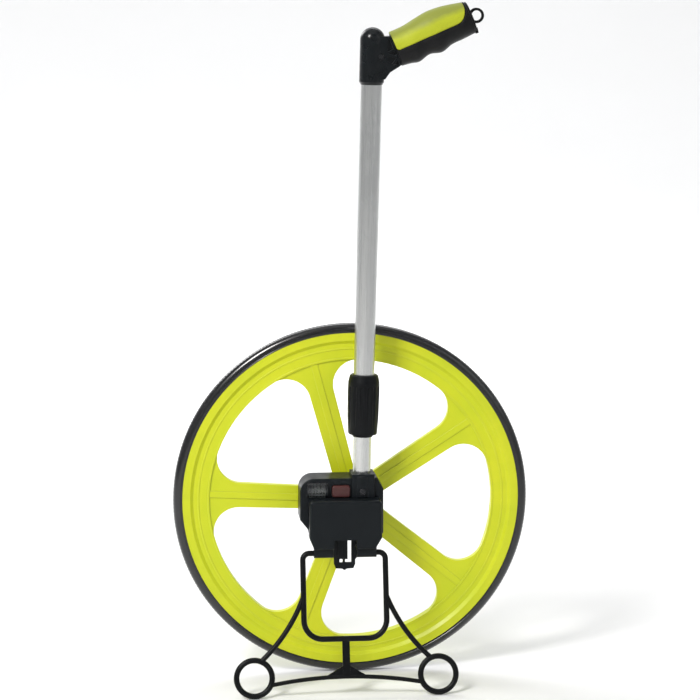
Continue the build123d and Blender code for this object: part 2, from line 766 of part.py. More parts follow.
with BuildPart() as guide_bush:
    with BuildSketch(along_tube(420.0)):
        Circle(UPPER_BORE - RUN)
    extrude(amount=8.0)
    with BuildSketch(along_tube(404.0)):
        Circle(LOWER_BORE - 0.03)
    extrude(amount=16.2)
guide_bush.part.label = "guide_bush"
export_step(guide_bush.part, "parts/guide_bush.step")

with BuildPart() as upper_tube:
    with BuildSketch(along_tube(101.0)):
        Circle(UPPER_R)
        Circle(UPPER_BORE, mode=Mode.SUBTRACT)
    extrude(amount=399.0)
upper_tube.part.label = "upper_tube"
export_step(upper_tube.part, "parts/upper_tube.step")

with BuildPart() as clamp_collet:
    with BuildSketch(along_tube(76.8)):
        Circle(10.9)
    extrude(amount=2.4)
    with BuildSketch(along_tube(79.0)):
        Circle(12.4)
    extrude(amount=21.9)
    with BuildSketch(along_tube(76.0)):
        Circle(LOWER_R + RUN)
    extrude(amount=26.0, mode=Mode.SUBTRACT)
    # Slits that let the collet close on the lower tube
    with BuildSketch(along_tube(79.2)):
        with PolarLocations(11.0, 4):
            Rectangle(5.0, 1.2)
    extrude(amount=15.0, mode=Mode.SUBTRACT)
clamp_collet.part.label = "clamp_collet"
export_step(clamp_collet.part, "parts/clamp_collet.step")

with BuildPart() as twist_collar:
    with BuildSketch(Plane(origin=along_tube(0).origin, x_dir=along_tube(0).x_dir, z_dir=(0, -1, 0))):
        with BuildLine():
            Polyline(
                (12.46, 79.5),
                (15.0, 79.5),
                (15.6, 80.6),
                (16.6, 99.0),
                (17.0, 124.0),
                (16.8, 136.0),
                (15.2, 142.8),
                (13.8, 144.0),
                (11.15, 144.0),
                (11.15, 101.2),
                (12.46, 101.2),
                close=True,
            )
        make_face()
    revolve(axis=Axis(along_tube(0).origin, along_tube(0).z_dir))
    # Flutes around the grip surface
    with BuildSketch(along_tube(84.0)):
        with PolarLocations(18.2, 14):
            Circle(2.4)
    extrude(amount=48.0, mode=Mode.SUBTRACT)
twist_collar.part.label = "twist_collar"
export_step(twist_collar.part, "parts/twist_collar.step")

with BuildPart() as head:
    with BuildSketch(Plane(origin=along_tube(0).origin, x_dir=along_tube(0).x_dir, z_dir=(0, -1, 0))):
        with BuildLine():
            Polyline(
                (0, HEAD_TOP),
                (0, HEAD_LOW),
                (HEAD_R - 1.8, HEAD_LOW),
                (HEAD_R, HEAD_LOW + 3.0),
                (HEAD_R, HEAD_TOP - HEAD_R),
            )
            RadiusArc((HEAD_R, HEAD_TOP - HEAD_R), (0, HEAD_TOP), -HEAD_R)
        make_face()
    revolve(axis=Axis(along_tube(0).origin, along_tube(0).z_dir))
    # Neck to the grip
    with BuildSketch(face(TUBE_DEPTH - 11.0)) as neck:
        with BuildLine():
            Polyline(
                (19.0, 503.0),
                (31.0, 502.4),
                (37.0, 502.75),
                (49.4, 473.25),
                (46.0, 470.6),
                (37.0, 465.0),
                (32.0, 458.0),
                (19.0, 456.0),
                close=True,
            )
        make_face()
    extrude(amount=22.0)
    # Tang inside the grip
    with BuildSketch(along_grip(-3.0)):
        Rectangle(16.0, 12.0)
    extrude(amount=51.0)
    # Pockets between the neck's ribs, on both faces
    for pocket_depth in (TUBE_DEPTH - 12.0, TUBE_DEPTH + 8.2):
        with BuildSketch(face(pocket_depth)):
            with BuildLine():
                Polyline((34.6, 499.6), (36.6, 499.6), (40.6, 489.4), (34.6, 486.4), close=True)
            make_face()
            with BuildLine():
                Polyline((35.6, 484.6), (42.0, 487.4), (43.6, 482.6), close=True)
            make_face()
            with BuildLine():
                Polyline((34.8, 482.0), (43.4, 479.8), (39.4, 474.2), (34.8, 475.6), close=True)
            make_face()
            with BuildLine():
                Polyline((41.4, 473.4), (44.8, 477.6), (46.6, 474.0), close=True)
            make_face()
        extrude(amount=3.8, mode=Mode.SUBTRACT)
    with BuildSketch(along_tube(HEAD_LOW - 1)):
        Circle(UPPER_R + 0.03)
    extrude(amount=49.2, mode=Mode.SUBTRACT)
    # Screw hole
    with BuildSketch(face(TUBE_DEPTH + 8.0, HEAD_SCREW_X, HEAD_SCREW_Z)):
        Circle(1.6)
    extrude(amount=8.0, mode=Mode.SUBTRACT)
    with BuildSketch(face(TUBE_DEPTH + 9.6, HEAD_SCREW_X, HEAD_SCREW_Z)):
        Circle(2.9)
    extrude(amount=8.0, mode=Mode.SUBTRACT)
head.part.label = "head"
export_step(head.part, "parts/head.step")

with BuildPart() as head_screw:
    with BuildSketch(face(TUBE_DEPTH + 8.8, HEAD_SCREW_X, HEAD_SCREW_Z)):
        Circle(1.5)
    extrude(amount=0.95)
    with BuildSketch(face(TUBE_DEPTH + 9.65, HEAD_SCREW_X, HEAD_SCREW_Z)):
        Circle(2.7)
    extrude(amount=1.0)
    with BuildSketch(face(TUBE_DEPTH + 10.1, HEAD_SCREW_X, HEAD_SCREW_Z)):
        Rectangle(3.4, 0.8)
        Rectangle(0.8, 3.4)
    extrude(amount=2.0, mode=Mode.SUBTRACT)
head_screw.part.label = "head_screw"
export_step(head_screw.part, "parts/head_screw.step")

# Grip sections: distance along the grip, reach above and below its axis, half width
GRIP_SECTIONS = (
    (0.0, 19.0, 19.0, 15.5),
    (10.0, 18.8, 20.4, 16.2),
    (19.0, 19.4, 22.3, 17.0),
    (32.0, 21.6, 19.4, 16.6),
    (45.0, 23.2, 22.4, 17.6),
    (58.0, 22.6, 19.0, 17.0),
    (70.0, 20.6, 18.6, 16.6),
    (GRIP_L, 17.2, 17.6, 15.0),
)


SPLIT_N = -1.8

with BuildPart() as grip_inlay:
    for t, above, below, half in GRIP_SECTIONS:
        with BuildSketch(along_grip(t)):
            with Locations(((above - below) / 2, 0)):
                Ellipse((above + below) / 2, half)
    loft()
    with BuildSketch(grip_side(-30.0)):
        with BuildLine():
            Polyline(
                (-10, SPLIT_N),
                (74.0, SPLIT_N + 1.0),
                (80.5, SPLIT_N + 5.0),
                (83.6, SPLIT_N + 14.0),
                (83.6, 60.0),
                (120.0, 60.0),
                (120.0, -60.0),
                (-10, -60.0),
                close=True,
            )
        make_face()
    extrude(amount=60.0, mode=Mode.SUBTRACT)
    with BuildSketch(along_grip(-5.0)):
        Ellipse(15.6, 12.0)
    extrude(amount=100.0, mode=Mode.SUBTRACT)
grip_inlay.part.label = "grip_inlay"
export_step(grip_inlay.part, "parts/grip_inlay.step")

with BuildPart() as grip_rubber:
    for t, above, below, half in GRIP_SECTIONS:
        with BuildSketch(along_grip(t)):
            with Locations(((above - below) / 2, 0)):
                Ellipse((above + below) / 2, half)
    loft()
    with BuildSketch(grip_side(-30.0)):
        with BuildLine():
            Polyline(
                (-10, SPLIT_N - 0.3),
                (74.2, SPLIT_N + 0.7),
                (80.9, SPLIT_N + 4.7),
                (84.0, SPLIT_N + 14.0),
                (84.0, 60.0),
                (-10.0, 60.0),
                close=True,
            )
        make_face()
    extrude(amount=60.0, mode=Mode.SUBTRACT)
    with BuildSketch(along_grip(-5.0)):
        Ellipse(15.6, 12.0)
    extrude(amount=100.0, mode=Mode.SUBTRACT)
grip_rubber.part.label = "grip_rubber"
export_step(grip_rubber.part, "parts/grip_rubber.step")

with BuildPart() as grip_core:
    with BuildSketch(along_grip(0.2)):
        Ellipse(15.5, 11.9)
    extrude(amount=GRIP_L - 0.4)
    with BuildSketch(along_grip(-1.0)):
        Rectangle(16.1, 12.1)
    extrude(amount=49.6, mode=Mode.SUBTRACT)
    # Socket for the end cap
    with BuildSketch(along_grip(GRIP_L - 12.0)):
        Circle(5.05)
    extrude(amount=20.0, mode=Mode.SUBTRACT)
grip_core.part.label = "grip_core"
export_step(grip_core.part, "parts/grip_core.step")

with BuildPart() as end_cap:
    with BuildSketch(along_grip(GRIP_L + 0.05)):
        Ellipse(16.6, 14.4)
    extrude(amount=2.4)
    fillet(end_cap.edges().group_by(Axis(along_grip(0).origin, along_grip(0).z_dir))[-1], radius=1.4)
    with BuildSketch(along_grip(GRIP_L - 11.5)):
        Circle(5.0)
    extrude(amount=12.0)
    # Lip at the lower edge
    with BuildSketch(grip_side(-4.0)):
        with BuildLine():
            Polyline((85.1, -14.0), (85.1, -18.4), (87.8, -18.4), (88.6, -13.0), (86.0, -11.0), close=True)
        make_face()
    extrude(amount=8.0)
    # Hanging loop
    with BuildSketch(grip_side(-2.2)):
        with Locations((92.6, -1.2)):
            Circle(8.0)
        with Locations((86.6, -1.2)):
            Rectangle(3.0, 14.0)
    extrude(amount=4.4)
    with BuildSketch(grip_side(-10.0)):
        with Locations((92.8, -1.2)):
            Circle(5.3)
    extrude(amount=20.0, mode=Mode.SUBTRACT)
end_cap.part.label = "end_cap"
export_step(end_cap.part, "parts/end_cap.step")

# ---------------------------------------------------------------- stand

with BuildPart() as stand:
    # Drawn flat with the pivot on the X axis, then swung into place
    with BuildLine() as bail:
        FilletPolyline(
            (-14.5, 0),
            (-LEG_U, 0),
            (-LEG_U, -40.0),
            radius=7.0,
        )
        FilletPolyline(
            (-LEG_U, -40.0),
            (-LEG_U, -LOOP_S),
            (LEG_U, -LOOP_S),
            (LEG_U, -40.0),
            radius=20.0,
        )
        FilletPolyline(
            (LEG_U, -40.0),
            (LEG_U, 0),
            (14.5, 0),
            radius=7.0,
        )
    with BuildSketch(Plane(origin=bail.line @ 0, z_dir=bail.line % 0)):
        Circle(BAR_R)
    sweep(path=bail.line)
    # Foot rings
    for ring_side in (-1, 1):
        ring_axis = Axis((ring_side * RING_U, -RING_S, 0), (0, 0, 1))
        with BuildSketch(Plane(origin=(ring_side * RING_U, -RING_S, 0), z_dir=(0, -1, 0), x_dir=(1, 0, 0))):
            with Locations((RING_R, 0)):
                Circle(BAR_R)
        revolve(axis=ring_axis)
    # Arched lower bar from ring to ring
    with BuildLine() as arch:
        ThreePointArc((-80.0, -138.9), (0, -131.6), (80.0, -138.9))
    with BuildSketch(Plane(origin=arch.line @ 0, z_dir=arch.line % 0)):
        Circle(ARCH_R)
    sweep(path=arch.line)
    # Outer struts, leaving the legs and curving out to the rings
    for strut_side in (-1, 1):
        with BuildLine() as strut:
            ThreePointArc(
                (strut_side * LEG_U, -45.6),
                (strut_side * (LEG_U + 18.4), -81.2),
                (strut_side * (LEG_U + 46.5), -113.6),
            )
        with BuildSketch(Plane(origin=strut.line @ 0, z_dir=strut.line % 0)):
            Circle(STRUT_R)
        sweep(path=strut.line)
    # Centre strut and the web at its foot
    with BuildSketch(Plane.XY.offset(-2.2)):
        with Locations((0, -(LOOP_S + 131.6) / 2)):
            Rectangle(7.8, 131.6 - LOOP_S)
    extrude(amount=4.4)
    with BuildSketch(Plane.XY.offset(-1.6)):
        Polygon((-24.0, -132.0), (-3.2, -120.0), (3.2, -120.0), (24.0, -132.0), align=None)
    extrude(amount=3.2)
stand.part.move(stand_plane().location)
stand.part.label = "stand"
export_step(stand.part, "parts/stand.step")
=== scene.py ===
"""Measuring wheel: finishes, soft tyre and grip, dial numbers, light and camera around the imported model."""
import json
import math

import bmesh
import bpy
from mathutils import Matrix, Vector


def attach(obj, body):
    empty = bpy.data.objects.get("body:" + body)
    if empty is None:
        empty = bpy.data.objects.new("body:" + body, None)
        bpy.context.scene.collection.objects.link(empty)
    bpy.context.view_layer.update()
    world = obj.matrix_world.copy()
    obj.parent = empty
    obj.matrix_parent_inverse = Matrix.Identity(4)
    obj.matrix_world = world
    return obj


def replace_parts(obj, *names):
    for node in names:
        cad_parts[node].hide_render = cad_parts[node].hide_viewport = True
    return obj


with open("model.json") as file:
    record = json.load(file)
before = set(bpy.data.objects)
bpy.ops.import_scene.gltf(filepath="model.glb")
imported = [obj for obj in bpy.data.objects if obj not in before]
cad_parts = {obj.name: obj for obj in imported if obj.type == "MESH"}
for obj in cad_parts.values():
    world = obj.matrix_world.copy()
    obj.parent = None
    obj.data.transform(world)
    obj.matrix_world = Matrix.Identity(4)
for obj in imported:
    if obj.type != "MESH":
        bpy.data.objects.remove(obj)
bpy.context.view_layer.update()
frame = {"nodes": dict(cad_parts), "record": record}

nodes = frame["nodes"]
scene = bpy.context.scene

# Places and sizes of the object, in metres
HUB = Vector((0.0, 0.038, 0.19404))
TYRE_SEAT = 0.18385
DRUM_AXIS = Vector((0.0, -0.004, 0.21004))
DRUM_R = 0.0095
DRUM_FIRST_X = -0.03295
DRUM_PITCH = 0.0037
GRIP_START = Vector((0.043, -0.002, 0.68304))
GRIP_ANGLE = math.radians(22.8)
GRIP_ALONG = Vector((math.cos(GRIP_ANGLE), 0, math.sin(GRIP_ANGLE)))
GRIP_UP = Vector((-math.sin(GRIP_ANGLE), 0, math.cos(GRIP_ANGLE)))
TUBE_FOOT = Vector((0.0075, -0.002, 0.19404))
TUBE_LEAN = math.radians(1.4)


# ---------------------------------------------------------------- finishes


class Finish:
    """A node material, put together step by step."""

    def __init__(self, name, metallic=0.0, **constants):
        self.made = bpy.data.materials.new(name)
        self.made.use_nodes = True
        self.tree = self.made.node_tree
        self.shader = self.tree.nodes["Principled BSDF"]
        self.shader.inputs["Metallic"].default_value = metallic
        for socket, value in constants.items():
            self.shader.inputs[socket.replace("_", " ")].default_value = value
        self.normal = None

    def put(self, socket, value):
        if isinstance(value, bpy.types.NodeSocket):
            self.tree.links.new(value, socket)
        elif isinstance(value, tuple) and len(value) == 3 and socket.type == "RGBA":
            socket.default_value = (*value, 1.0)
        else:
            socket.default_value = value

    def math(self, operation, a, b=0.0):
        node = self.tree.nodes.new("ShaderNodeMath")
        node.operation = operation
        self.put(node.inputs[0], a)
        self.put(node.inputs[1], b)
        return node.outputs[0]

    def vector(self, operation, a, b=(0.0, 0.0, 0.0)):
        node = self.tree.nodes.new("ShaderNodeVectorMath")
        node.operation = operation
        self.put(node.inputs[0], a)
        self.put(node.inputs[1], b)
        return node.outputs[1 if operation in ("LENGTH", "DOT_PRODUCT") else 0]

    def place(self, centre=(0.0, 0.0, 0.0), scale=(1.0, 1.0, 1.0)):
        """Where a point of the piece lies from a centre, in metres, stretched along each axis."""
        at = self.tree.nodes.new("ShaderNodeTexCoord").outputs["Object"]
        return self.vector("MULTIPLY", self.vector("SUBTRACT", at, tuple(centre)), scale)

    def part(self, vector, axis):
        node = self.tree.nodes.new("ShaderNodeSeparateXYZ")
        self.put(node.inputs[0], vector)
        return node.outputs["XYZ".index(axis)]

    def noise(self, where, scale, detail=3.0, rough=0.55):
        node = self.tree.nodes.new("ShaderNodeTexNoise")
        self.put(node.inputs["Vector"], where)
        node.inputs["Scale"].default_value = scale
        node.inputs["Detail"].default_value = detail
        node.inputs["Roughness"].default_value = rough
        return node.outputs["Fac"]

    def cells(self, where, scale):
        node = self.tree.nodes.new("ShaderNodeTexVoronoi")
        node.feature = "SMOOTH_F1"
        self.put(node.inputs["Vector"], where)
        node.inputs["Scale"].default_value = scale
        return node.outputs["Distance"]

    def span(self, value, low, high, to_low=0.0, to_high=1.0):
        node = self.tree.nodes.new("ShaderNodeMapRange")
        self.put(node.inputs["Value"], value)
        for socket, number in zip(node.inputs[1:5], (low, high, to_low, to_high)):
            socket.default_value = number
        return node.outputs[0]

    def mix(self, factor, a, b):
        node = self.tree.nodes.new("ShaderNodeMix")
        node.data_type = "RGBA"
        self.put(node.inputs[0], factor)
        self.put(node.inputs[6], a)
        self.put(node.inputs[7], b)
        return node.outputs[2]

    def worn(self, radius, full=0.12):
        """1 on the piece's sharp outer edges, 0 on its faces."""
        bevel = self.tree.nodes.new("ShaderNodeBevel")
        bevel.samples = 4
        bevel.inputs["Radius"].default_value = radius
        flat = self.tree.nodes.new("ShaderNodeNewGeometry").outputs["Normal"]
        return self.span(self.vector("DOT_PRODUCT", bevel.outputs[0], flat), 1.0 - full, 1.0, 1.0, 0.0)

    def hollow(self, reach):
        """1 deep in corners and grooves, 0 in the open."""
        shade = self.tree.nodes.new("ShaderNodeAmbientOcclusion")
        shade.samples = 4
        shade.only_local = True
        shade.inputs["Distance"].default_value = reach
        return self.span(shade.outputs["AO"], 0.35, 0.95, 1.0, 0.0)

    def bump(self, height, distance, strength=1.0):
        node = self.tree.nodes.new("ShaderNodeBump")
        node.inputs["Strength"].default_value = strength
        node.inputs["Distance"].default_value = distance
        self.put(node.inputs["Height"], height)
        if self.normal is not None:
            self.tree.links.new(self.normal, node.inputs["Normal"])
        self.normal = node.outputs[0]

    def soften(self, radius):
        """Rounds the light on sharp edges."""
        bevel = self.tree.nodes.new("ShaderNodeBevel")
        bevel.samples = 4
        bevel.inputs["Radius"].default_value = radius
        self.normal = bevel.outputs[0]

    def done(self, colour, roughness):
        self.put(self.shader.inputs["Base Color"], colour)
        self.put(self.shader.inputs["Roughness"], roughness)
        if self.normal is not None:
            self.tree.links.new(self.normal, self.shader.inputs["Normal"])
        return self.made


def rim_yellow():
    f = Finish("moulded_lime", Specular_IOR_Level=0.32, Coat_Weight=0.06, Coat_Roughness=0.22)
    f.soften(0.0007)
    at = f.place(HUB)
    flat = f.place(HUB, (1.0, 0.0, 1.0))
    radius = f.vector("LENGTH", flat)
    around = f.vector("NORMALIZE", flat)
    # Flow of the plastic from the hub outwards, and long cloudy patches
    turned = f.vector("MULTIPLY", around, (26.0, 0.0, 26.0))
    drifted = f.vector("MULTIPLY", flat, (9.0, 0.0, 9.0))
    streak = f.noise(f.vector("ADD", turned, drifted), 1.0, 4.0, 0.6)
    cloud = f.noise(at, 11.0, 3.0)
    colour = f.mix(f.span(cloud, 0.3, 0.7), (0.585, 0.665, 0.016), (0.700, 0.725, 0.018))
    colour = f.mix(f.span(streak, 0.35, 0.75, 0.0, 0.22), colour, (0.555, 0.640, 0.016))
    # Rubber dust carried in from the tyre, painted shade in the corners and pale rubbed edges
    specks = f.span(f.noise(at, 55.0, 5.0), 0.42, 0.7, 0.0, 0.14)
    dust = f.math("MULTIPLY", f.span(radius, 0.171, 0.184), specks)
    colour = f.mix(dust, colour, (0.30, 0.33, 0.045))
    # Painted shade: a darker yellow deep in corners and grooves
    colour = f.mix(f.math("MULTIPLY", f.hollow(0.006), 0.16), colour, (0.40, 0.47, 0.014))
    colour = f.mix(f.math("MULTIPLY", f.worn(0.0006), 0.35), colour, (0.86, 0.88, 0.22))
    scratch = f.span(f.noise(f.place(HUB, (60.0, 60.0, 900.0)), 1.0, 2.0), 0.70, 0.74)
    rings = f.math("SINE", f.math("MULTIPLY", radius, 2600.0))
    f.bump(rings, 0.00001, 0.15)
    f.bump(f.noise(at, 850.0, 2.0), 0.00008, 0.35)
    f.bump(f.noise(at, 60.0, 2.0), 0.0004, 0.25)
    polish = f.span(f.noise(at, 38.0, 4.0), 0.3, 0.7, 0.30, 0.44)
    rough = f.math("ADD", polish, f.math("MULTIPLY", scratch, 0.12))
    return f.done(colour, rough)


def tyre_rubber():
    f = Finish("tyre_rubber", Specular_IOR_Level=0.45, Coat_Weight=0.6, Coat_Roughness=0.13)
    at = f.place(HUB)
    radius = f.vector("LENGTH", f.place(HUB, (1.0, 0.0, 1.0)))
    tread = f.span(radius, 0.1900, 0.1932)
    colour = f.mix(f.noise(at, 24.0, 4.0), (0.0026, 0.0029, 0.0034), (0.0052, 0.0057, 0.0064))
    dust = f.math("MULTIPLY", tread, f.span(f.noise(at, 70.0, 6.0), 0.45, 0.75, 0.0, 0.12))
    colour = f.mix(dust, colour, (0.080, 0.077, 0.070))
    wall = f.math("SINE", f.math("MULTIPLY", radius, 5200.0))
    f.bump(wall, 0.00001, 0.3)
    f.bump(f.noise(at, 1300.0, 3.0), 0.00006, 0.5)
    polish = f.span(f.noise(at, 45.0, 4.0), 0.3, 0.7, 0.19, 0.27)
    rough = f.math("ADD", polish, f.math("MULTIPLY", dust, 0.5))
    return f.done(colour, rough)


def black_plastic(name, dark, light, low, high, grain, depth, edge, coat=0.0):
    """Black moulded plastic: spark-eroded grain, dust on top, rubbed edges lightened also as a painted sheen.
    """
    f = Finish(name, Specular_IOR_Level=0.17, Coat_Weight=coat, Coat_Roughness=0.15)
    f.soften(0.0005)
    at = f.place()
    colour = f.mix(f.noise(at, 30.0, 4.0), dark, light)
    up = f.part(f.tree.nodes.new("ShaderNodeNewGeometry").outputs["Normal"], "Z")
    specks = f.span(f.noise(at, 420.0, 5.0, 0.7), 0.5, 0.8, 0.0, 0.12)
    dust = f.math("MULTIPLY", f.span(up, 0.2, 1.0, 0.1, 1.0), specks)
    colour = f.mix(dust, colour, (0.10, 0.10, 0.098))
    # Edges rubbed by wear, lightened further as a painted sheen
    rubbed_and_sheen = f.math("MULTIPLY", f.worn(0.0005), f.span(f.noise(at, 160.0, 3.0), 0.35, 0.65, 0.05, 0.35))
    colour = f.mix(rubbed_and_sheen, colour, edge)
    f.bump(f.cells(at, grain), depth, 0.6)
    f.bump(f.noise(at, grain * 0.45, 3.0), depth, 0.5)
    rough = f.span(f.noise(at, 75.0, 5.0), 0.3, 0.7, low, high)
    return f.done(colour, rough)


def aluminium():
    f = Finish("satin_aluminium", metallic=1.0, Anisotropic=0.35, Specular_IOR_Level=0.5)
    lean = math.tan(TUBE_LEAN)
    at = f.place(TUBE_FOOT)
    # Straight lines drawn along the tube by the die, which leans by 1.4 degrees
    across = f.math("SUBTRACT", f.part(at, "X"), f.math("MULTIPLY", f.part(at, "Z"), lean))
    lines_at = f.tree.nodes.new("ShaderNodeCombineXYZ")
    f.put(lines_at.inputs[0], f.math("MULTIPLY", across, 2600.0))
    f.put(lines_at.inputs[1], f.math("MULTIPLY", f.part(at, "Y"), 2600.0))
    f.put(lines_at.inputs[2], f.math("MULTIPLY", f.part(at, "Z"), 14.0))
    drawn = f.noise(lines_at.outputs[0], 1.0, 3.0, 0.6)
    cloud = f.noise(at, 19.0, 4.0)
    colour = f.mix(f.span(drawn, 0.3, 0.75), (0.66, 0.67, 0.66), (0.78, 0.785, 0.775))
    colour = f.mix(f.span(cloud, 0.45, 0.75, 0.0, 0.25), colour, (0.52, 0.515, 0.50))
    spots = f.span(f.noise(at, 330.0, 2.0), 0.74, 0.78, 0.0, 0.5)
    colour = f.mix(spots, colour, (0.45, 0.44, 0.42))
    f.bump(drawn, 0.00003, 0.30)
    f.bump(f.noise(at, 900.0, 2.0), 0.00002, 0.3)
    rough = f.math("ADD", f.span(drawn, 0.25, 0.75, 0.20, 0.29), f.span(cloud, 0.3, 0.8, 0.0, 0.10))
    return f.done(colour, rough)


def steel():
    f = Finish("zinc_steel", metallic=1.0)
    f.soften(0.0002)
    at = f.place()
    flakes = f.cells(at, 900.0)
    colour = f.mix(f.span(flakes, 0.1, 0.7), (0.50, 0.51, 0.53), (0.64, 0.64, 0.63))
    # Painted shade: dark brown deep in the hollows
    colour = f.mix(f.math("MULTIPLY", f.hollow(0.002), 0.6), colour, (0.16, 0.14, 0.12))
    f.bump(f.noise(at, 1500.0, 3.0), 0.00003, 0.5)
    return f.done(colour, f.span(f.noise(at, 260.0, 4.0), 0.3, 0.7, 0.24, 0.42))


def black_oxide():
    f = Finish("black_oxide_steel", metallic=1.0)
    f.soften(0.0002)
    at = f.place()
    colour = f.mix(f.noise(at, 420.0, 4.0), (0.030, 0.032, 0.036), (0.065, 0.066, 0.070))
    colour = f.mix(f.math("MULTIPLY", f.worn(0.0003), 0.6), colour, (0.22, 0.22, 0.22))
    f.bump(f.noise(at, 1500.0, 3.0), 0.00003, 0.5)
    return f.done(colour, f.span(f.noise(at, 260.0, 4.0), 0.3, 0.7, 0.30, 0.46))


def brass():
    f = Finish("oiled_bronze", metallic=1.0)
    at = f.place()
    pores = f.span(f.noise(at, 1800.0, 2.0), 0.60, 0.68)
    colour = f.mix(f.noise(at, 90.0, 4.0), (0.60, 0.42, 0.20), (0.74, 0.56, 0.30))
    colour = f.mix(f.math("MULTIPLY", pores, 0.7), colour, (0.14, 0.09, 0.05))
    f.bump(pores, 0.00003, 0.6)
    return f.done(colour, f.span(f.noise(at, 120.0, 3.0), 0.3, 0.7, 0.30, 0.48))


def pale_plastic(name, dark, light):
    """Pale moulded plastic of the drums and gears, with painted shade in the corners."""
    f = Finish(name, Specular_IOR_Level=0.45, Subsurface_Weight=0.05)
    f.soften(0.0002)
    at = f.place()
    colour = f.mix(f.noise(at, 140.0, 4.0), dark, light)
    # Painted shade: darker deep in the corners
    colour = f.mix(f.math("MULTIPLY", f.hollow(0.0015), 0.5), colour, (0.26, 0.23, 0.19))
    f.bump(f.noise(at, 1100.0, 3.0), 0.00003, 0.5)
    return f.done(colour, f.span(f.noise(at, 200.0, 4.0), 0.3, 0.7, 0.36, 0.52))


def clear_lens():
    f = Finish("clear_lens", Transmission_Weight=1.0, IOR=1.49)
    at = f.place()
    lines = f.span(f.noise(f.place((0.0, 0.0, 0.0), (2400.0, 300.0, 130.0)), 1.0, 2.0), 0.66, 0.72, 0.0, 0.16)
    f.bump(f.noise(at, 260.0, 2.0), 0.00002, 0.2)
    colour = f.mix(f.span(f.noise(at, 500.0, 4.0), 0.5, 0.8), (0.60, 0.63, 0.66), (0.52, 0.55, 0.57))
    return f.done(colour, f.math("ADD", lines, f.span(f.noise(at, 90.0, 3.0), 0.4, 0.8, 0.03, 0.10)))


def button_plastic():
    f = Finish("button_plastic", Specular_IOR_Level=0.4, Coat_Weight=0.1, Coat_Roughness=0.2)
    f.soften(0.0005)
    at = f.place()
    colour = f.mix(f.noise(at, 110.0, 4.0), (0.058, 0.016, 0.015), (0.092, 0.026, 0.024))
    colour = f.mix(f.math("MULTIPLY", f.worn(0.0005), 0.5), colour, (0.20, 0.085, 0.08))
    f.bump(f.cells(at, 1500.0), 0.00004, 0.5)
    return f.done(colour, f.span(f.noise(at, 150.0, 4.0), 0.3, 0.7, 0.28, 0.42))


def grip_skin(name, dark, light, dirt_and_shade, low, high, pebble, top_shade=0.0):
    """Soft grip rubber: pebbled skin, dirt specks, painted shade over its top when asked, and the dirt colour
    in the grooves, which is painted shade where it darkens the skin.
    """
    f = Finish(name, Specular_IOR_Level=0.22)
    at = f.place()
    colour = f.mix(f.noise(at, 36.0, 4.0), dark, light)
    specks = f.span(f.noise(at, 700.0, 4.0, 0.65), 0.52, 0.78, 0.0, 0.30)
    colour = f.mix(specks, colour, dirt_and_shade)
    if top_shade:
        # Painted shade darkens the top of the grip to olive
        height = f.vector("DOT_PRODUCT", f.place(GRIP_START), tuple(GRIP_UP))
        edge = f.math("ADD", height, f.span(f.noise(at, 90.0, 4.0), 0.3, 0.7, -0.0012, 0.0012))
        colour = f.mix(f.span(edge, 0.0085, 0.0145, 0.0, top_shade), colour, (0.215, 0.240, 0.060))
    # In the grooves the dirt colour is painted shade on the lime skin, where it is darker than the skin, and
    # dust on the black skin, where it is lighter
    colour = f.mix(f.math("MULTIPLY", f.hollow(0.0025), 0.55), colour, dirt_and_shade)
    f.bump(f.cells(at, pebble), 0.00010, 0.55)
    f.bump(f.noise(at, pebble * 1.9, 3.0), 0.00004, 0.5)
    return f.done(colour, f.span(f.noise(at, 42.0, 4.0), 0.3, 0.7, low, high))


def dial_ink():
    f = Finish("dial_ink", Specular_IOR_Level=0.4)
    at = f.place()
    colour = f.mix(f.noise(at, 900.0, 4.0), (0.010, 0.010, 0.011), (0.034, 0.033, 0.032))
    f.bump(f.noise(at, 2500.0, 2.0), 0.00002, 0.4)
    return f.done(colour, f.span(f.noise(at, 600.0, 3.0), 0.3, 0.7, 0.35, 0.55))


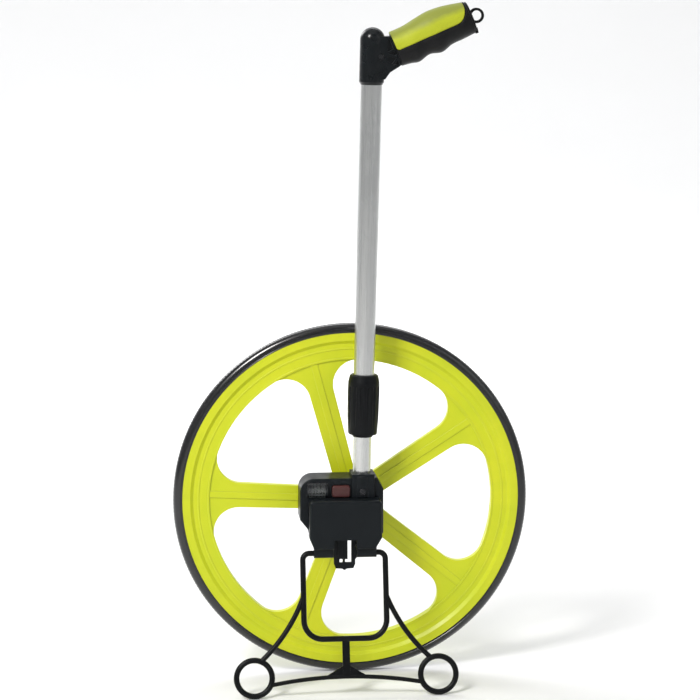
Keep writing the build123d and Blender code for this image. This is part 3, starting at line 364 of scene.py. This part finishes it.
finishes = {
    "rim_yellow": rim_yellow(),
    "tyre": tyre_rubber(),
    "box_black": black_plastic(
        "box_black",
        dark=(0.0048, 0.0068, 0.0086),
        light=(0.0080, 0.0108, 0.0132),
        low=0.30,
        high=0.44,
        grain=1500.0,
        depth=0.00006,
        edge=(0.095, 0.105, 0.11),
    ),
    "lens_clear": clear_lens(),
    "drum_ivory": pale_plastic("drum_ivory", (0.44, 0.41, 0.37), (0.56, 0.53, 0.48)),
    "nylon_white": pale_plastic("nylon_white", (0.66, 0.64, 0.58), (0.78, 0.77, 0.72)),
    "button_red": button_plastic(),
    "tube_aluminium": aluminium(),
    "collar_black": black_plastic(
        "collar_black",
        dark=(0.0026, 0.0033, 0.0040),
        light=(0.0050, 0.0060, 0.0070),
        low=0.34,
        high=0.46,
        grain=1300.0,
        depth=0.00005,
        edge=(0.07, 0.075, 0.08),
    ),
    "head_black": black_plastic(
        "head_black",
        dark=(0.0030, 0.0044, 0.0054),
        light=(0.0054, 0.0074, 0.0088),
        low=0.24,
        high=0.34,
        grain=1000.0,
        depth=0.00003,
        edge=(0.06, 0.07, 0.075),
        coat=0.3,
    ),
    "grip_yellow": grip_skin(
        "grip_lime",
        dark=(0.400, 0.450, 0.022),
        light=(0.490, 0.530, 0.028),
        dirt_and_shade=(0.20, 0.23, 0.030),
        low=0.38,
        high=0.50,
        pebble=1250.0,
        # Painted shade over the top of the lime skin
        top_shade=0.75,
    ),
    "grip_black": grip_skin(
        "grip_black",
        dark=(0.0030, 0.0031, 0.0037),
        light=(0.0058, 0.0060, 0.0068),
        dirt_and_shade=(0.018, 0.0176, 0.0165),
        low=0.36,
        high=0.50,
        pebble=1000.0,
    ),
    "stand_black": black_plastic(
        "stand_black",
        dark=(0.0026, 0.0030, 0.0036),
        light=(0.0050, 0.0056, 0.0064),
        low=0.30,
        high=0.42,
        grain=1100.0,
        depth=0.00005,
        edge=(0.075, 0.078, 0.08),
    ),
    "steel": steel(),
    "steel_dark": black_oxide(),
    "brass": brass(),
}

for row in frame["record"]["subparts"]:
    mesh = nodes[row["node"]].data
    mesh.materials.clear()
    mesh.materials.append(finishes[row["material_slot"]])


# ---------------------------------------------------------------- pieces


def new_piece(name, build, finish, body, smooth_deg=35.0):
    """A mesh object from a bmesh, smooth-shaded except at its sharp edges."""
    build.normal_update()
    for edge in build.edges:
        edge.smooth = not (edge.is_manifold and edge.calc_face_angle(0.0) > math.radians(smooth_deg))
    for polygon in build.faces:
        polygon.smooth = True
    mesh = bpy.data.meshes.new(name)
    build.to_mesh(mesh)
    build.free()
    mesh.materials.append(finish)
    piece = bpy.data.objects.new(name, mesh)
    scene.collection.objects.link(piece)
    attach(piece, body)
    return piece


def skin(build, rings, closed_rings=True, closed_around=True):
    """Quads between neighbouring rings of vertices."""
    count = len(rings)
    for i in range(count if closed_rings else count - 1):
        a, b = rings[i], rings[(i + 1) % count]
        size = len(a)
        for j in range(size if closed_around else size - 1):
            k = (j + 1) % size
            corners = []
            for vertex in (a[j], a[k], b[k], b[j]):
                if vertex not in corners:
                    corners.append(vertex)
            if len(corners) > 2:
                build.faces.new(corners)


# Tyre: a revolved section with a round crown and shoulders, stepped walls and fine ribs across the tread
RIBS = 288
STEPS_PER_RIB = 4
RIB_DEPTH = 0.00018
CROWN_R = 0.008353
CROWN_CENTRE = 0.185687
SHOULDER_R = 0.007644
SHOULDER_CENTRE = 0.1863
SHOULDER_OFFSET = 0.000356


def tyre_section():
    """(radius, y, how far the ribs cut in) around the section, front wall first."""
    right = []
    for y in (0.0, 0.0007, 0.0014, 0.0021, 0.0028, 0.0035, 0.00418):
        crown = CROWN_CENTRE + math.sqrt(CROWN_R**2 - y * y)
        right.append((crown, y, RIB_DEPTH if y < 0.004 else 0.0))
    for degrees in (38, 46, 54, 62, 70, 78, 85, 90):
        a = math.radians(degrees)
        reach = SHOULDER_CENTRE + SHOULDER_R * math.cos(a)
        right.append((reach, SHOULDER_OFFSET + SHOULDER_R * math.sin(a), 0.0))
    right += [
        (0.18580, 0.00800, 0.0),
        (0.18555, 0.00780, 0.0),
        (0.18500, 0.00778, 0.0),
        (0.18475, 0.00796, 0.0),
        (0.18420, 0.00785, 0.0),
        (TYRE_SEAT, 0.00745, 0.0),
        (TYRE_SEAT, 0.0032, 0.0),
        (0.18080, 0.0032, 0.0),
    ]
    left = [(r, -y, cut) for r, y, cut in reversed(right) if y > 0]
    return left + right


def make_tyre():
    build = bmesh.new()
    section = tyre_section()
    rings = []
    for step in range(RIBS * STEPS_PER_RIB):
        angle = 2 * math.pi * step / (RIBS * STEPS_PER_RIB)
        sunk = 1.0 if step % STEPS_PER_RIB in (0, 1) else 0.0
        ring = []
        for r, y, cut in section:
            reach = r - cut * sunk
            ring.append(build.verts.new(HUB + Vector((reach * math.cos(angle), y, reach * math.sin(angle)))))
        rings.append(ring)
    skin(build, rings)
    bmesh.ops.recalc_face_normals(build, faces=build.faces)
    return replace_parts(new_piece("tyre_tread", build, finishes["tyre"], "road_wheel"), "tyre")


make_tyre()

# Grip: distance along it, reach above and below its axis, half width
GRIP_SECTIONS = (
    (0.0, 19.0, 19.0, 15.5),
    (10.0, 18.8, 20.4, 16.2),
    (19.0, 19.4, 22.3, 17.0),
    (32.0, 21.6, 19.4, 16.6),
    (45.0, 23.2, 22.4, 17.6),
    (58.0, 22.6, 19.0, 17.0),
    (70.0, 20.6, 18.6, 16.6),
    (85.0, 17.2, 17.6, 15.0),
)


def grip_size(t):
    """Reach above, reach below and half width at t, on smooth curves through the sections."""
    last = len(GRIP_SECTIONS) - 1
    i = 0
    while i < last - 1 and t > GRIP_SECTIONS[i + 1][0]:
        i += 1
    rows = [GRIP_SECTIONS[max(0, min(last, i + k))] for k in (-1, 0, 1, 2)]
    t0, t1 = rows[1][0], rows[2][0]
    u = (t - t0) / (t1 - t0)
    sizes = []
    for k in (1, 2, 3):
        slope0 = (rows[2][k] - rows[0][k]) / max(rows[2][0] - rows[0][0], 1e-6) * (t1 - t0)
        slope1 = (rows[3][k] - rows[1][k]) / max(rows[3][0] - rows[1][0], 1e-6) * (t1 - t0)
        sizes.append(
            (2 * u**3 - 3 * u**2 + 1) * rows[1][k]
            + (u**3 - 2 * u**2 + u) * slope0
            + (3 * u**2 - 2 * u**3) * rows[2][k]
            + (u**3 - u**2) * slope1
        )
    return sizes


def grip_point(t, phi, lift):
    """A point of the grip's skin, phi from its top, lift outwards, all in millimetres."""
    above, below, half = grip_size(t)
    tall = (above + below) / 2 + lift
    n = (above - below) / 2 + tall * math.cos(phi)
    y = (half + lift) * math.sin(phi)
    return GRIP_START + (GRIP_ALONG * t + GRIP_UP * n) / 1000 + Vector((0, -y / 1000, 0))


def seam_phi(t, shift):
    """Angle from the top to the seam between the two skins; shift widens the lime one, in millimetres."""
    above, below, half = grip_size(t)
    n = -1.9 + 0.012 * t - shift
    low_end, high_end = 1.0 - shift, 83.2 + shift
    if t < low_end + 3.0:
        u = max(0.0, (low_end + 3.0 - t) / 3.0)
        n += 3.0 * (1 - math.sqrt(max(0.0, 1 - u * u)))
    if t > high_end - 15.0:
        u = min(1.0, (t - high_end + 15.0) / 15.0)
        n += (above - n) * (1 - math.sqrt(1 - u**2.4))
    middle, tall = (above - below) / 2, (above + below) / 2
    return math.acos(max(-1.0, min(1.0, (n - middle) / tall)))


def shell(build, stations, span_of, lift_of, thick, across):
    """A closed shell over part of the grip: its outer skin, its inner skin and the walls between them."""
    outer, inner = [], []
    for t in stations:
        start, end = span_of(t)
        top_ring, low_ring = [], []
        for j in range(across + 1):
            share = 0.5 - 0.5 * math.cos(math.pi * j / across) if across > 8 else j / across
            phi = start + (end - start) * (0.35 * share + 0.65 * j / across)
            top_ring.append(build.verts.new(grip_point(t, phi, lift_of(t, phi, start, end))))
            low_ring.append(build.verts.new(grip_point(t, phi, -thick)))
        outer.append(top_ring)
        inner.append(low_ring)
    skin(build, outer, False, False)
    skin(build, [ring[::-1] for ring in inner], False, False)
    for rings_at in (0, -1):
        skin(build, [outer[rings_at], inner[rings_at]], False, False)
    for edge_at in (0, -1):
        skin(build, [[ring[edge_at] for ring in outer], [ring[edge_at] for ring in inner]], False, False)
    bmesh.ops.remove_doubles(build, verts=build.verts, dist=0.00002)
    bmesh.ops.recalc_face_normals(build, faces=build.faces)


def lime_lift(t, phi, start, end):
    """Rounds the lime skin down into the seam and at its ends, and sinks it by 0.02 mm."""
    above, below, half = grip_size(t)
    arc = (above + half) / 2
    edge = min(abs(phi - start), abs(end - phi)) * arc
    edge = min(edge, max(0.0, t - 1.0), max(0.0, 83.2 - t) * 1.4)
    return -0.55 * (1 - math.sqrt(1 - (1 - min(1.0, edge / 1.1)) ** 2)) - 0.02


def black_lift(t, phi, start, end):
    """A low lip along the seam, and rounded ends."""
    above, below, half = grip_size(t)
    arc = (above + half) / 2
    edge = min(abs(phi - start), abs(end - phi)) * arc
    lip = 0.0
    if edge < 2.6 and t < 84:
        lip = 0.30 * math.sin(math.pi * min(1.0, edge / 2.6))
    fall = -0.5 * (1 - math.sqrt(1 - (1 - min(1.0, edge / 0.7)) ** 2))
    end_fall = min(max(0.0, t), max(0.0, 84.95 - t))
    fall -= 0.7 * (1 - math.sqrt(1 - (1 - min(1.0, end_fall / 1.0)) ** 2))
    return lip + fall


def grip_stations(low, high):
    """Stations close together at the ends and at most 0.8 mm apart between."""
    count = int((high - low) / 0.8)
    marks = [low + (high - low) * i / count for i in range(count + 1)]
    for step in (0.1, 0.25, 0.45, 0.7, 1.0, 1.4):
        marks += [low + step, high - step]
    return sorted(marks)


def make_grip():
    build = bmesh.new()
    shell(
        build,
        grip_stations(1.0, 83.18),
        lambda t: (-max(seam_phi(t, 0.0), 0.004), max(seam_phi(t, 0.0), 0.004)),
        lime_lift,
        2.6,
        64,
    )
    lime = new_piece("grip_lime_skin", build, finishes["grip_yellow"], "handle", 50.0)
    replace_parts(lime, "grip_inlay")
    build = bmesh.new()
    shell(
        build,
        grip_stations(0.0, 84.95),
        lambda t: (seam_phi(t, 0.45), 2 * math.pi - seam_phi(t, 0.45)),
        black_lift,
        2.8,
        96,
    )
    black = new_piece("grip_black_skin", build, finishes["grip_black"], "handle", 50.0)
    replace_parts(black, "grip_rubber")


make_grip()


# Dial numbers, printed on the drums
DIAL_BODIES = ("units", "tens", "hundreds", "thousands", "ten_thousands")
DIGIT_H = 0.0041
DIGIT_W = 0.0023
INK_H = 0.00006
STRIP_H = 0.00036
READ_AT = math.radians(14)


def digit_shape(figure):
    """One figure as a thin solid, centred, cut into strips so that it can follow the drum."""
    curve = bpy.data.curves.new("figure", "FONT")
    curve.body = figure
    curve.resolution_u = 4
    holder = bpy.data.objects.new("figure", curve)
    scene.collection.objects.link(holder)
    bpy.context.view_layer.update()
    mesh = bpy.data.meshes.new_from_object(holder.evaluated_get(bpy.context.evaluated_depsgraph_get()))
    bpy.data.objects.remove(holder)
    bpy.data.curves.remove(curve)
    build = bmesh.new()
    build.from_mesh(mesh)
    bpy.data.meshes.remove(mesh)
    xs = [v.co.x for v in build.verts]
    ys = [v.co.y for v in build.verts]
    tall = DIGIT_H / (max(ys) - min(ys))
    wide = min(DIGIT_W / (max(xs) - min(xs)), tall * 1.05)
    middle_x, middle_y = (max(xs) + min(xs)) / 2, (max(ys) + min(ys)) / 2
    for v in build.verts:
        v.co = Vector(((v.co.x - middle_x) * wide, (v.co.y - middle_y) * tall, 0))
    bmesh.ops.remove_doubles(build, verts=build.verts, dist=0.000005)
    for cut in range(-5, 6):
        every = build.verts[:] + build.edges[:] + build.faces[:]
        bmesh.ops.bisect_plane(build, geom=every, plane_co=(0, cut * STRIP_H, 0), plane_no=(0, 1, 0))
    raised = bmesh.ops.extrude_face_region(build, geom=build.faces[:])
    for item in raised["geom"]:
        if isinstance(item, bmesh.types.BMVert):
            item.co.z = INK_H
    bmesh.ops.recalc_face_normals(build, faces=build.faces)
    return build


def make_dials():
    drums = [bmesh.new() for _ in DIAL_BODIES]
    for number in range(10):
        shape = digit_shape(str(number))
        for index, drum in enumerate(drums):
            middle_x = DRUM_FIRST_X - index * DRUM_PITCH
            centre = READ_AT + 2 * math.pi * number / 10
            copies = {}
            for v in shape.verts:
                angle = centre + v.co.y / DRUM_R
                reach = DRUM_R - 0.00002 + v.co.z
                offset = Vector((middle_x + v.co.x, -reach * math.cos(angle), reach * math.sin(angle)))
                copies[v] = drum.verts.new(offset + DRUM_AXIS)
            for polygon in shape.faces:
                drum.faces.new([copies[v] for v in polygon.verts])
        shape.free()
    for index, (drum, body) in enumerate(zip(drums, DIAL_BODIES)):
        new_piece(f"drum_{index + 1}_numbers", drum, ink, body)


ink = dial_ink()
make_dials()


# ---------------------------------------------------------------- floor, light and camera


FLOOR_R = 4.5
CURVE_R = 3.0
WALL_H = 6.5
FLOOR_SIDES = 96


def make_floor():
    """A pale round floor that curves up into a wall far from the object."""
    build = bmesh.new()
    profile = [(0.0, 0.0), (1.0, 0.0), (2.5, 0.0), (FLOOR_R, 0.0)]
    for step in range(1, 13):
        a = math.pi / 2 * step / 12
        profile.append((FLOOR_R + CURVE_R * math.sin(a), CURVE_R * (1 - math.cos(a))))
    profile.append((FLOOR_R + CURVE_R, WALL_H))
    centre = build.verts.new((0, 0, 0))
    rings = []
    for r, z in profile[1:]:
        ring = []
        for k in range(FLOOR_SIDES):
            a = 2 * math.pi * k / FLOOR_SIDES
            ring.append(build.verts.new((r * math.cos(a), r * math.sin(a), z)))
        rings.append(ring)
    skin(build, rings, False, True)
    for k in range(FLOOR_SIDES):
        build.faces.new((centre, rings[0][k], rings[0][(k + 1) % FLOOR_SIDES]))
    bmesh.ops.recalc_face_normals(build, faces=build.faces)
    for polygon in build.faces:
        polygon.smooth = True
    mesh = bpy.data.meshes.new("floor")
    build.to_mesh(mesh)
    build.free()
    f = Finish("pale_floor", Specular_IOR_Level=0.2)
    at = f.place()
    shade = f.mix(f.noise(at, 1.2, 2.0), (0.86, 0.86, 0.86), (0.89, 0.89, 0.89))
    f.bump(f.noise(at, 350.0, 2.0), 0.0001, 0.1)
    mesh.materials.append(f.done(shade, f.span(f.noise(at, 4.0, 2.0), 0.3, 0.7, 0.55, 0.65)))
    floor = bpy.data.objects.new("floor", mesh)
    scene.collection.objects.link(floor)


make_floor()

# What the camera looks at, from where (azimuth, elevation in degrees), and how far away
CENTRE = Vector((-0.00036, 0.0402, 0.35773))
VIEW = (-5, 9)
VIEW_DISTANCE = 2.6


def outward(azimuth, elevation):
    """Direction from the object; azimuth 0 is the front, -90 its left."""
    a, e = math.radians(azimuth), math.radians(elevation)
    return Vector((math.sin(a) * math.cos(e), -math.cos(a) * math.cos(e), math.sin(e)))


def softbox(name, place, aim, width, height, power, tint=(1.0, 1.0, 1.0)):
    """A rectangular lamp at a place that shines along aim."""
    light = bpy.data.lights.new(name, "AREA")
    light.shape = "RECTANGLE"
    light.size = width
    light.size_y = height
    light.energy = power
    light.color = tint
    lamp = bpy.data.objects.new(name, light)
    lamp.location = place
    lamp.rotation_mode = "QUATERNION"
    lamp.rotation_quaternion = aim.to_track_quat("-Z", "Y")
    scene.collection.objects.link(lamp)


# Name, azimuth and elevation in degrees, distance, width, height, watts and tint
LAMPS = (
    ("key", -40, 40, 3.0, 0.7, 0.9, 68.0, (1.0, 0.985, 0.96)),
    ("fill", 50, 24, 3.4, 1.8, 2.2, 8.0, (0.95, 0.975, 1.0)),
    ("top", 10, 82, 3.0, 2.4, 2.4, 8.0, (1.0, 1.0, 1.0)),
    ("back_left", -146, 30, 2.7, 1.0, 1.0, 16.0, (1.0, 1.0, 1.0)),
)
for name, azimuth, elevation, distance, width, height, power, tint in LAMPS:
    away = outward(azimuth, elevation)
    softbox(name, CENTRE + away * distance, -away, width, height, power, tint)

# A lamp behind the object that faces away from it and lights the floor there
softbox("backdrop", Vector((0.0, 2.2, 3.0)), Vector((0.0, 2.6, -3.0)), 3.0, 3.0, 165.0)

world = bpy.data.worlds.new("studio")
world.use_nodes = True
world.node_tree.nodes["Background"].inputs["Color"].default_value = (0.95, 0.97, 1.0, 1.0)
world.node_tree.nodes["Background"].inputs["Strength"].default_value = 0.32
scene.world = world
scene.view_settings.view_transform = "Standard"

lens = bpy.data.cameras.new("camera")
lens.sensor_width = 36.0
lens.lens = 123.25
lens.clip_start = 0.05
lens.clip_end = 60.0
camera = bpy.data.objects.new("camera", lens)
camera.location = CENTRE + outward(*VIEW) * VIEW_DISTANCE
camera.rotation_mode = "QUATERNION"
camera.rotation_quaternion = (-outward(*VIEW)).to_track_quat("-Z", "Y")
scene.collection.objects.link(camera)
scene.camera = camera
